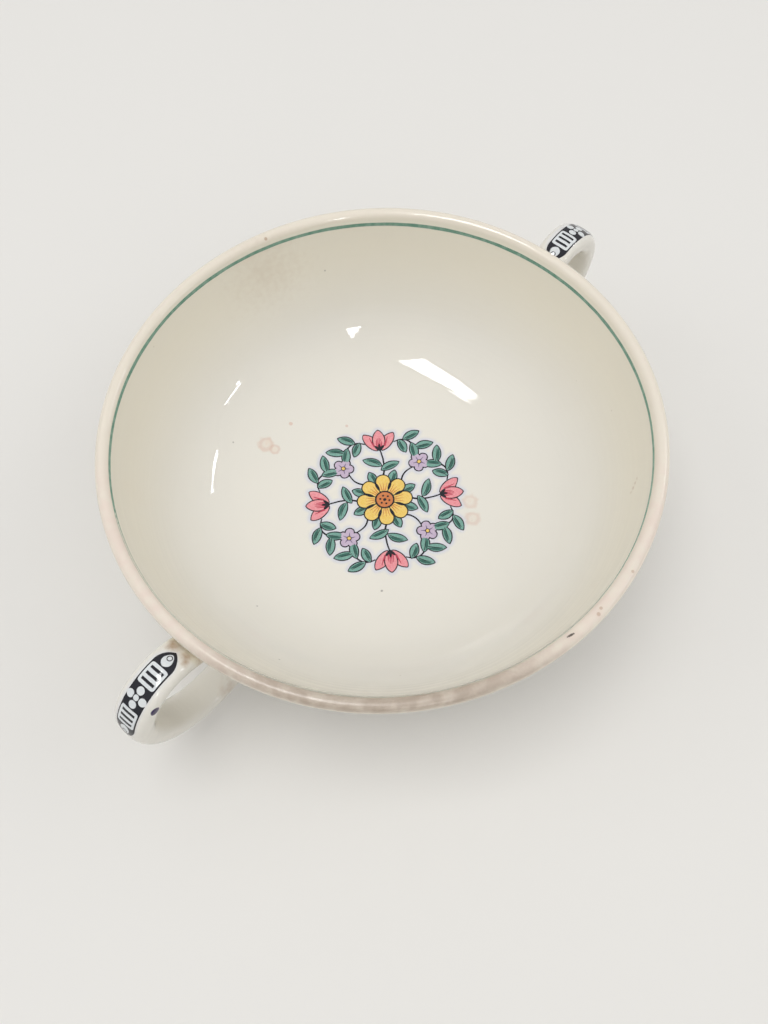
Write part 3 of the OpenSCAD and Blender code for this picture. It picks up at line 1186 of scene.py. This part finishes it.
@dataclass
class StrapOrnament:
    """The printed panel on the outer face of each strap: a quatrefoil between two barred blocks."""

    form: CupForm
    inks: Mapping[Ink, Material]
    start: float = 4.2
    tip: float = 3.9
    half: float = 2.45
    block_w: float = 4.3
    block_l: float = 4.75
    block_corner: float = 0.22
    middle: float = 15.8
    block_off: float = 5.2
    petal_d: float = 1.75
    petal_off: float = 1.65
    petal_squeeze: float = 0.98
    bar: float = 0.6
    bar_l: float = 3.2
    bar_gap: float = 1.35
    bud_l: float = 2.9
    bud_w: float = 2.3
    bud_off: float = 0.3
    eye_off: float = 2.3
    eye: tuple[float, float] = (0.52, 0.43)
    heart: tuple[float, float] = (0.72, 0.64)
    line: float = 0.2
    wobble: float = 0.05
    layers: tuple[float, float, float, float] = (0.02, 0.035, 0.05, 0.065)
    near_slip: tuple[float, float] = (0.2, 0.0)
    far_slip: tuple[float, float] = (-0.5, -1.0)

    def half_width(self, along: float) -> float:
        """Half width of the panel, which ends in two pointed arches, at a length along the strap."""
        from_tip = min(along - self.start, 2 * self.middle - self.start - along)
        if from_tip <= 0:
            return 0.0
        if from_tip >= self.tip:
            return self.half
        r = (self.half**2 + self.tip**2) / (2 * self.half)
        return max(0.0, math.sqrt(r * r - (self.tip - from_tip) ** 2) - (r - self.half))

    def _outline(self, parts: int = 12) -> list[tuple[float, float]]:
        """Corners of the black panel."""
        end = 2 * self.middle - self.start
        stops = [self.start + self.tip * k / parts for k in range(parts + 1)]
        stops += [end - self.tip * k / parts for k in range(parts, -1, -1)]
        side = [(self.half_width(a), a) for a in stops]
        return side + [(-w, a) for w, a in reversed(side) if w > 0]

    def _block(self, along: float, parts: int = 48) -> list[tuple[float, float]]:
        """Corners of a pale block, which are slightly rounded."""
        turns = [math.tau * (k + 0.5) / parts for k in range(parts)]
        return [
            (self.block_w / 2 * power(math.cos(q), self.block_corner),
             along + self.block_l / 2 * power(math.sin(q), self.block_corner))
            for q in turns
        ]

    def _on_handle(self, turned: bool) -> Wrap:
        """The wrap of one handle, which is the one on the -X side when turned."""
        (across_slip, along_slip), k = (self.near_slip, -1) if turned else (self.far_slip, 1)

        def wrap(across: float, along: float, lift: float) -> Vector:
            """Place on the handle."""
            p = self.form.on_strap(across + across_slip, along + along_slip, lift)
            return Vector((k * p.x, k * p.y, p.z))

        return wrap

    def build(self) -> list[Object]:
        """Builds and dresses the prints of both handles.

        Returns:
            The dark and the pale plates.
        """
        panel, shapes, lines, dots = self.layers
        dark, pale = PrintSheet(self.wobble), PrintSheet(self.wobble)
        dark.plate(self._outline(), panel)
        eyes = [(self.middle, *self.heart)]
        for side in (-1, 1):
            along = self.middle + side * self.block_off
            pale.plate(self._block(along), shapes)
            for k in (-1, 0, 1):
                at = along + k * self.bar_gap
                ends = [Vector((end * self.bar_l / 2, at, 0)) for end in (-1, 1)]
                dark.stroke(lambda q, ends=ends: ends[0].lerp(ends[1], q), self.bar, self.bar, lines)
            edge = along + side * self.block_l / 2
            turn = Matrix.Rotation(0 if side > 0 else math.pi, 4, "Z")
            bud = Matrix.Translation((0, edge + side * self.bud_off, 0)) @ turn
            pale.petal(bud, self.bud_l, self.bud_w, shapes, point=0.25, belly=-0.2)
            eyes.append((edge + side * self.eye_off, *self.eye))
        for q in (0, math.pi / 2, math.pi, -math.pi / 2):
            x, y = self.petal_off * math.cos(q) * self.petal_squeeze, self.petal_off * math.sin(q)
            pale.disc(x, self.middle + y, self.petal_d / 2, shapes)
        for along, ring_r, dot_r in eyes:
            dark.ring(0, along, ring_r, self.line, lines)
            pale.disc(0, along, dot_r, dots)
        wraps = [self._on_handle(False), self._on_handle(True)]
        return [
            dark.laid("strap_print_dark", wraps, self.inks[Ink.BLACK]),
            pale.laid("strap_print_pale", wraps, self.inks[Ink.RESERVED]),
        ]


class Lift(float, Enum):
    """Heights of the medallion's layers above the floor, in millimetres."""

    GROUND = 0.005
    STEM = 0.012
    OUTLINE = 0.015
    STEP = 0.024
    FILL = 0.027
    SHADE = 0.033
    RIB = 0.039
    VEIN = 0.042
    BELL_HEART = 0.054
    TOP_VEIN = 0.063
    GAP = 0.066
    SEPAL = 0.068
    EYE = 0.069
    EYE_FILL = 0.081
    EYE_DOT = 0.093


@dataclass
class Medallion:
    """A generic wreath in the well: a bloom, four tulips and four bells on leafy stems.

    Its lengths are drawn in millimetres before the scale, and its turns and leans in degrees.
    """

    form: CupForm
    inks: Mapping[Ink, Material]
    glaze: Material
    scale: float = 1.2
    radius: float = 18.4
    line: float = 0.24
    bloom_petals: int = 8
    garland_r: float = 13.6
    leaf_w: float = 1.6
    flow: float = 0.7
    flow_reach: float = 1.1
    sheets: dict[Ink, PrintSheet] = field(default_factory=dict)

    @staticmethod
    def _at(r: float, turn: float, lean: float = 0.0) -> Matrix:
        """Place on the floor at a radius and turn in degrees, whose Y looks outwards plus a lean."""
        q = math.radians(turn)
        looks = Matrix.Rotation(q - math.pi / 2 + math.radians(lean), 4, "Z")
        return Matrix.Translation((r * math.cos(q), r * math.sin(q), 0)) @ looks

    def _filled(self, ink: Ink, place: Matrix, length: float, width: float, step: int = 0,
                **shape: float) -> None:
        """Adds a shape in an ink over its black outline, one step above what lies below."""
        rise = Lift.STEP * step
        self.sheets[Ink.BLACK].petal(place, length, width, Lift.OUTLINE + rise, grow=self.line, **shape)
        self.sheets[ink].petal(place, length, width, Lift.FILL + rise, **shape)

    def _vein(self, ink: Ink, place: Matrix, start: tuple[float, float], run: tuple[float, float],
              widths: tuple[float, float], lift: Lift, parts: int = 8, swell: float = 0.0) -> None:
        """Adds a tapered stroke in a place's own frame.

        Args:
            ink: its ink.
            place: the frame.
            start: its first point.
            run: how far it goes across and along.
            widths: width at its start and end.
            lift: its layer.
            parts: straight parts.
            swell: how far its middle bows aside.
        """
        def path(k: float) -> Vector:
            """Place along the stroke."""
            x = start[0] + run[0] * k + swell * k * (1 - k)
            return place @ Vector((x, start[1] + run[1] * k, 0))

        self.sheets[ink].stroke(path, *widths, lift, parts)

    def _leaf(self, place: Matrix, length: float, curl: float) -> None:
        """Adds a leaf with its rib."""
        width = self.leaf_w
        self._filled(Ink.LEAF, place, length, width, point=0.6, curl=curl)
        shade = place @ Matrix.Translation((width * 0.2, length * 0.1, 0))
        self.sheets[Ink.DEEP_LEAF].petal(shade, length * 0.78, width * 0.36, Lift.SHADE, point=0.6, curl=curl)

        def rib(k: float) -> Vector:
            """Place along the leaf's rib."""
            y = length * (0.08 + 0.74 * k)
            return place @ Vector((curl * length * (y / length) ** 2, y, 0))

        self.sheets[Ink.BLACK].stroke(rib, 0.16, 0.08, Lift.RIB)

    def _stem(self, start: Matrix, bend: tuple[float, float], end: tuple[float, float], line: float) -> None:
        """Adds a stem from a place, over a bend, to an end, both in the place's own frame."""
        b, e = Vector((*bend, 0)), Vector((*end, 0))
        self.sheets[Ink.BLACK].stroke(
            lambda k: start @ (2 * k * (1 - k) * b + k * k * e), line, line * 0.7, Lift.STEM, 20
        )

    def _bloom(self) -> None:
        """Draws the bloom in the middle."""
        black = self.sheets[Ink.BLACK]
        for k in range(self.bloom_petals):
            turn, between = (360 * (k + share) / self.bloom_petals for share in (0, 0.5))
            place = self._at(1.5, turn)
            self._leaf(self._at(3.9, between), 3.1, 0.0)
            self._filled(Ink.YELLOW, place, 4.1, 2.7, step=1, belly=0.3)
            for lean in (-0.45, 0.0, 0.45):
                self._vein(Ink.ORANGE, place, (0.7 * lean, 0.6), (lean, 1.8), (0.22, 0.06), Lift.TOP_VEIN, 6)
            black.petal(self._at(2.2, between), 2.3, 0.62, Lift.GAP, point=0.4)
        black.disc(0, 0, 2.05, Lift.EYE)
        self.sheets[Ink.ORANGE].disc(0, 0, 1.7, Lift.EYE_FILL)
        for k in range(6):
            q = math.tau * k / 6
            black.disc(0.95 * math.cos(q), 0.95 * math.sin(q), 0.22, Lift.EYE_DOT, points=12)
        black.disc(0, 0, 0.34, Lift.EYE_DOT, points=14)

    def _tulip(self, turn: float) -> None:
        """Draws a tulip on its stem, outwards at a turn."""
        self._stem(self._at(5.2, turn), (1.2, 2.4), (0, 6.6), 0.42)
        self._leaf(self._at(6.9, turn, -56), 3.9, 0.22)
        self._leaf(self._at(7.9, turn, 54), 3.9, -0.22)
        base = self._at(11.6, turn)
        for side in (-1, 1):
            outer = base @ Matrix.Translation((side * 0.55, 0.0, 0)) @ Matrix.Rotation(-side * 0.42, 4, "Z")
            self._filled(Ink.PINK, outer, 4.5, 2.2, point=0.45, curl=side * 0.18)
            self._vein(Ink.RED, base, (1.1 * side, 0.9), (0.85 * side, 2.1), (0.4, 0.12), Lift.VEIN)
        self._filled(Ink.PINK, base, 4.6, 2.4, step=1, point=0.4)
        for lean in (-0.45, -0.15, 0.15, 0.45):
            run, swell = (0, 2.6 - abs(lean)), 0.9 * lean
            self._vein(Ink.RED, base, (0.9 * lean, 0.4), run, (0.34, 0.1), Lift.TOP_VEIN, swell=swell)
        for side in (-1, 0, 1):
            sepal = base @ Matrix.Rotation(-side * 0.75, 4, "Z")
            self.sheets[Ink.BLACK].petal(sepal, 1.5, 0.55, Lift.SEPAL, point=0.5)

    def _bell(self, turn: float) -> None:
        """Draws a bell flower on its curved stem, outwards at a turn."""
        self._stem(self._at(5.4, turn), (-1.5, 2.0), (0, 4.6), 0.38)
        middle = self._at(9.7, turn) @ Matrix.Translation((0, 1.6, 0))
        for k in range(5):
            petal = middle @ Matrix.Rotation(math.tau * k / 5, 4, "Z")
            self._filled(Ink.LILAC, petal, 2.1, 1.6, belly=0.2)
            self._vein(Ink.VIOLET, petal, (0, 0.3), (0, 1.0), (0.3, 0.08), Lift.RIB, 6)
        x, y, _ = middle.translation
        self.sheets[Ink.BLACK].disc(x, y, 0.5, Lift.VEIN, points=20)
        self.sheets[Ink.YELLOW].disc(x, y, 0.34, Lift.BELL_HEART, points=18)

    def _garland(self, turn: float, side: int) -> None:
        """Draws the leafy branch between a bell and the next tulip."""
        start = turn + side * 12

        def path(k: float) -> Vector:
            """Place along the branch."""
            q = math.radians(start + side * 20 * k)
            out = self.garland_r + math.sin(math.pi * k)
            return Vector((out * math.cos(q), out * math.sin(q), 0))

        self.sheets[Ink.BLACK].stroke(path, 0.4, 0.26, Lift.STEM, 16)
        for k, lean, size in ((0.0, 40, 3.9), (0.22, -36, 3.6), (0.6, 42, 3.7), (0.8, -34, 3.2)):
            q = path(k)
            at = math.degrees(math.atan2(q.y, q.x))
            self._leaf(self._at(q.length, at, -side * 90 + side * lean * 1.25), size, side * 0.12)

    def _laid(self, x: float, y: float, lift: float) -> Vector:
        """Place on the bowl's floor, at the print's scale."""
        return self.form.on_floor(x * self.scale, y * self.scale, lift)

    def _ground(self, lines: Object) -> Object:
        """Lays the glaze over the print's ground, tinted by the cobalt that flowed from its lines.

        Args:
            lines: the black plates.

        Returns:
            The ground, with its share of flow at each point.
        """
        sheet = PrintSheet(0.0, grid=0.4)
        sheet.disc(0, 0, self.radius, Lift.GROUND, points=96)
        ground = sheet.laid("medallion_ground", [self._laid], self.glaze)
        near = kdtree.KDTree(len(lines.data.vertices))
        for v in lines.data.vertices:
            near.insert(v.co, v.index)
        near.balance()
        edge = self.radius * self.scale - 0.3
        shares = []
        for v in ground.data.vertices:
            gap = near.find(v.co)[2] / MM
            inside = smooth(edge - v.co.xy.length / MM)
            shares.append(self.flow * inside * smooth(1.05 - gap / self.flow_reach))
        store_flow(ground, shares)
        return ground

    def build(self) -> list[Object]:
        """Builds and dresses the medallion, one piece for each ink, on its ground.

        Returns:
            The pieces.
        """
        inks = [ink for ink in Ink if ink not in (Ink.RESERVED, Ink.LINE_GREEN)]
        self.sheets = {ink: PrintSheet(0.04, grid=1.5) for ink in inks}
        for turn in range(0, 360, 90):
            self._tulip(45 + turn)
            self._bell(turn)
            for side in (-1, 1):
                self._garland(turn, side)
        self._bloom()
        prints = [
            sheet.laid("medallion_" + ink.value.name, [self._laid], self.inks[ink])
            for ink, sheet in self.sheets.items()
        ]
        return [self._ground(prints[0]), *prints]


@dataclass(frozen=True)
class Lamp:
    """A rectangular lamp that only the glaze mirrors, or a soft one that only lights the room.

    Its place, the place that it faces and its size are in metres, and its roll is in degrees.
    """

    name: str
    at: Vector
    look: Vector
    size: tuple[float, float]
    radiance: float
    roll: float = 0.0
    mirrored: bool = True

    def _turn(self) -> Matrix:
        """The lamp's turn, without its roll."""
        return (self.at - self.look).to_track_quat("Z", "Y").to_matrix()

    def hang(self) -> None:
        """Hangs the lamp."""
        data = bpy.data.lights.new(self.name, "AREA")
        data.shape = "RECTANGLE"
        data.size, data.size_y = self.size
        data.energy = self.radiance * math.pi * self.size[0] * self.size[1]
        lamp = in_scene(self.name, data)
        turn = self._turn().to_4x4() @ Matrix.Rotation(math.radians(self.roll), 4, "Z")
        lamp.matrix_world = Matrix.Translation(self.at) @ turn
        lamp.visible_diffuse = not self.mirrored
        lamp.visible_glossy = self.mirrored

    def bank(self, rows: Sequence[tuple[float, float]]) -> None:
        """Hangs strips of the lamp's height edge to edge, whose ends step like a slanted window's.

        Args:
            rows: shift to its right and length of each strip, from the top down, in metres.
        """
        tall = self.size[1]
        for k, (shift, length) in enumerate(rows):
            move = self._turn() @ Vector((shift, (len(rows) / 2 - 0.5 - k) * tall, 0))
            at, look = self.at + move, self.look + move
            replace(self, name=f"{self.name}_{k}", at=at, look=look, size=(length, tall)).hang()


@dataclass
class Studio:
    """Pale floor, soft light and the camera, in metres."""

    floor: str = "E4E2DE"
    backdrop: str = "E9E8E5"
    floor_half: float = 2.5
    floor_drop: float = 0.00005
    card_ends: tuple[float, float] = (0.25, 1.3)
    sky_level: tuple[float, float] = (0.42, 0.65)
    lens: float = 32.52
    eye: tuple[float, float, float] = (-0.072487, -0.068101, 0.216483)
    right: tuple[float, float, float] = (0.638861, -0.768732, -0.030134)
    down: tuple[float, float, float] = (-0.705926, -0.570194, -0.420175)

    def camera(self) -> None:
        """Sets the camera where the photograph was taken from."""
        data = bpy.data.cameras.new("camera")
        data.sensor_width = 36.0
        data.lens = self.lens
        data.clip_start = 0.01
        cam = in_scene("camera", data)
        x = Vector(self.right).normalized()
        z = x.cross(-Vector(self.down)).normalized()
        turn = Matrix((x, z.cross(x), z)).transposed().to_4x4()
        cam.matrix_world = Matrix.Translation(self.eye) @ turn
        bpy.context.scene.camera = cam

    def ground(self) -> None:
        """Lays the pale floor, a matt card that runs into the backdrop far from the cup without an edge."""
        bm = bmesh.new()
        bmesh.ops.create_grid(bm, x_segments=1, y_segments=1, size=self.floor_half)
        bmesh.ops.translate(bm, verts=bm.verts[:], vec=(0, 0, -self.floor_drop))
        floor = put("floor", bm)
        mat, tree, place = new_finish("matt_card")
        card = tree.nodes["Principled BSDF"]
        feed(card, {"Base Color": colour(self.floor), "Roughness": 0.85, "Specular IOR Level": 0.2})
        away = add_node(tree, "VectorMath", {0: place}, operation="LENGTH")
        eye = add_node(tree, "LightPath").outputs["Is Camera Ray"]
        near, end = self.card_ends
        far = add_node(tree, "MapRange", {0: away, 1: near, 2: end, 3: 0.0, 4: eye}, **SOFT)
        pale = add_node(tree, "Emission", {0: colour(self.backdrop), 1: 1.0})
        both = add_node(tree, "MixShader", {0: far, 1: card, 2: pale})
        feed(tree.nodes["Material Output"], {0: both})
        dress(floor, mat)

    def sky(self) -> None:
        """Fills the room with light that is brighter overhead."""
        world = bpy.data.worlds.new("room")
        world.use_nodes = True
        tree = world.node_tree
        tree.nodes.clear()
        ways = add_node(tree, "TexCoord").outputs["Generated"]
        up = add_node(tree, "SeparateXYZ", {0: ways}).outputs["Z"]
        low, high = self.sky_level
        level = add_node(tree, "MapRange", {0: up, 1: -0.1, 2: 0.95, 3: low, 4: high}, **SOFT)
        lit = add_node(tree, "Background", {0: colour("FFFFFF"), 1: level})
        seen = add_node(tree, "Background", {0: colour(self.backdrop), 1: 1.0})
        eye = add_node(tree, "LightPath").outputs["Is Camera Ray"]
        both = add_node(tree, "MixShader", {0: eye, 1: lit, 2: seen})
        add_node(tree, "OutputWorld", {0: both})
        bpy.context.scene.world = world

    def lamps(self) -> None:
        """Hangs the lamps: the banks and strips shape the highlights, and the soft ones light the room."""
        at, look = Vector((-0.1753, 0.1752, 1.2846)), Vector((0.0254, 0.0183, 0.0098))
        Lamp("overhead", at, look, (0.555, 0.041), 14.0).bank(
            [(-0.3, 0.06), (-0.0025, 0.555), (0.02, 0.55), (0.04, 0.55), (0.0625, 0.535), (0.0875, 0.515)]
        )
        at, look = Vector((-0.576, -0.773, 0.837)), Vector((0.0296, 0.0349, 0.0174))
        Lamp("rear", at, look, (0.13, 0.065), 20.0).bank(
            [(0.015, 0.03), (0.01, 0.06), (0.0, 0.09), (-0.01, 0.13)]
        )
        for name, at, look, size, roll in (
            ("side_strip_a", (0.513, -1.008, 0.575), (-0.004, 0.0463, 0.018), (0.25, 0.046), 14.7),
            ("side_strip_b", (0.915, -0.453, 0.772), (-0.0222, 0.0362, 0.0148), (0.31, 0.046), -7.7),
        ):
            Lamp(name, Vector(at), Vector(look), size, 24.0, roll).hang()
        for name, at, width, radiance in (
            ("top_soft", (-0.2, 0.15, 1.5), 0.8, 3.4), ("front_soft", (-0.25, -1.2, 1.2), 1.0, 0.6),
            ("left_soft", (-0.85, 0.95, 1.0), 1.0, 0.9), ("right_soft", (0.95, -0.8, 0.9), 1.0, 1.0),
        ):
            Lamp(name, Vector(at), Vector((0, 0, 0.02)), (width, width), radiance, mirrored=False).hang()

    def build(self) -> None:
        """Sets up the whole studio."""
        self.camera()
        self.ground()
        self.sky()
        self.lamps()
        bpy.context.scene.view_settings.view_transform = "Standard"


def printed_flow(form: CupForm, ornament: StrapOrnament) -> Callable[[Vector], float]:
    """How far the straps' printed colour has flowed into the glaze.

    Args:
        form: the cup's form.
        ornament: the strap's print.

    Returns:
        A function from a place in millimetres to a share from 0 to 1.
    """
    end = 2 * ornament.middle - ornament.start
    stops = [ornament.start - 1.2 + (end - ornament.start + 2.4) * k / 120 for k in range(121)]
    face = kdtree.KDTree(len(stops))
    for i, a in enumerate(stops):
        p = form.on_strap(0.0, a, 0.0)
        face.insert(Vector((p.x, 0, p.z)), i)
    face.balance()

    def reach(p: Vector) -> float:
        """Share of the flow at a place."""
        if math.hypot(p.x, p.y) < form.rim_r - 1 or p.z < 25:
            return 0.0
        _, i, off = face.find(Vector((abs(p.x), 0, p.z)))
        if off > 1.0:
            return 0.0
        gap = abs(p.y) - ornament.half_width(stops[i])
        return 0.3 * smooth(1 - gap / 0.9) * smooth((1.0 - off) / 0.4)

    return reach


def wear_and_shade() -> tuple[GlazeMark, ...]:
    """Marks of firing and use, and painted shade by the near handle's joints, each row a place, a radius and
    a depth of colour, in the order they lie.
    """
    pink, peach, brown_wear_and_shade, rust, dark = "CFA592", "E3C6AE", "A98461", "A37C52", "3C312A"
    ghosts = (
        ((-7.5, 33.0, 11.2), 1.7, 0.36, 2.2, 0.55), ((-7.0, 30.4, 10.9), 1.25, 0.36, 1.7, 0.5),
        ((12.6, -16.9, 10.2), 1.7, 0.28, 2.4, 0.4), ((9.3, -20.2, 10.2), 1.7, 0.32, 2.4, 0.42),
    )
    rings = [
        (kind, code, [(place, r, depth)])
        for place, loop_r, loop_depth, stain_r, stain_depth in ghosts
        for kind, code, r, depth in (
            (Mark.LOOP, pink, loop_r, loop_depth), (Mark.STAIN_AND_SHADE, peach, stain_r, stain_depth)
        )
    ]
    nick_radii = (0.22, 0.3, 0.34, 0.3, 0.22)
    nick = [((-13.2 + 0.32 * k, -57.5 - 0.14 * k, 46.0), r, 0.9) for k, r in enumerate(nick_radii)]
    scratch = [((28.5 - 0.85 * k, -48.1 - 0.2 * k, 37.0 - 0.7 * k), 0.6, 0.6) for k in range(4)]
    groups = (
        *rings,
        (Mark.SPOT, pink, [((1.0, 32.2, 10.9), 0.7, 0.5), ((9.8, 20.8, 10.3), 0.6, 0.45)]),
        (Mark.SPOT, dark, nick),
        (Mark.SPOT, brown_wear_and_shade, [
            ((-4.4, -59.2, 46.0), 0.5, 0.5), ((-5.7, -59.5, 46.0), 0.6, 0.5),
            ((5.8, -59.7, 45.9), 0.5, 0.5), ((22.4, 53.9, 45.6), 0.55, 0.6),
        ]),
        (Mark.SPOT, dark, [
            ((-19.1, -15.0, 10.3), 0.4, 0.5), ((-41.1, 4.1, 14.0), 0.3, 0.35),
            ((-48.2, -10.7, 21.5), 0.32, 0.35), ((-13.1, 38.6, 13.7), 0.35, 0.35),
            ((31.3, 44.5, 32.7), 0.32, 0.35),
        ]),
        (Mark.STAIN_AND_SHADE, rust, [
            ((-61.6, 1.7, 41.5), 2.3, 1.0), ((-61.9, -2.0, 41.7), 2.2, 0.95), ((-62.8, -3.2, 41.7), 1.3, 0.8),
        ]),
        # Brown on the near handle's flank below the lip and by its lower joint: partly real staining, partly
        # painted shade of those recesses
        # The broad faint mark high on the far wall only makes the wall there a little darker and browner
        (Mark.STAIN_AND_SHADE, brown_wear_and_shade, [
            ((-60.6, -4.6, 38.0), 4.2, 0.6), ((-59.2, -4.0, 12.4), 3.6, 0.5), ((19.5, 52.8, 38.0), 13.0, 0.2),
            *scratch,
        ]),
        (Mark.DAB, "26094A", [((-73.3, -4.0, 39.0), 1.15, 1.0)]),
    )
    return tuple(
        GlazeMark(kind, place, r, code, depth) for kind, code, rows in groups for place, r, depth in rows
    )


def main() -> None:
    """Builds the cup, its prints and the studio, and reports each piece."""
    logging.basicConfig(level=logging.INFO, format="%(name)s: %(message)s")
    # The drawn edges waver the same way each run
    noise.seed_set(WAVER_SEED)
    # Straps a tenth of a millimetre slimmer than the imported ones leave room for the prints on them
    form = CupForm(replace(CupSizes(), flare_root=0.03, strap_t=4.7, bend_t=5.6))
    coat = ClearCoat()
    inks = {ink: ink.value.made(coat) for ink in Ink}
    ornament = StrapOrnament(form, inks)
    glaze = CreamGlaze(coat, marks=wear_and_shade()).made(form.sizes.cup_h)
    pieces = [
        CupBody(form, glaze).build(printed_flow(form, ornament)),
        LipLine(form, inks[Ink.LINE_GREEN]).build(),
        *ornament.build(),
        *Medallion(form, inks, glaze).build(),
    ]
    for piece in pieces:
        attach(piece, "root")
        LOG.info("%s: %d faces", piece.name, len(piece.data.polygons))
    Studio().build()


if __name__ == "__main__":
    main()
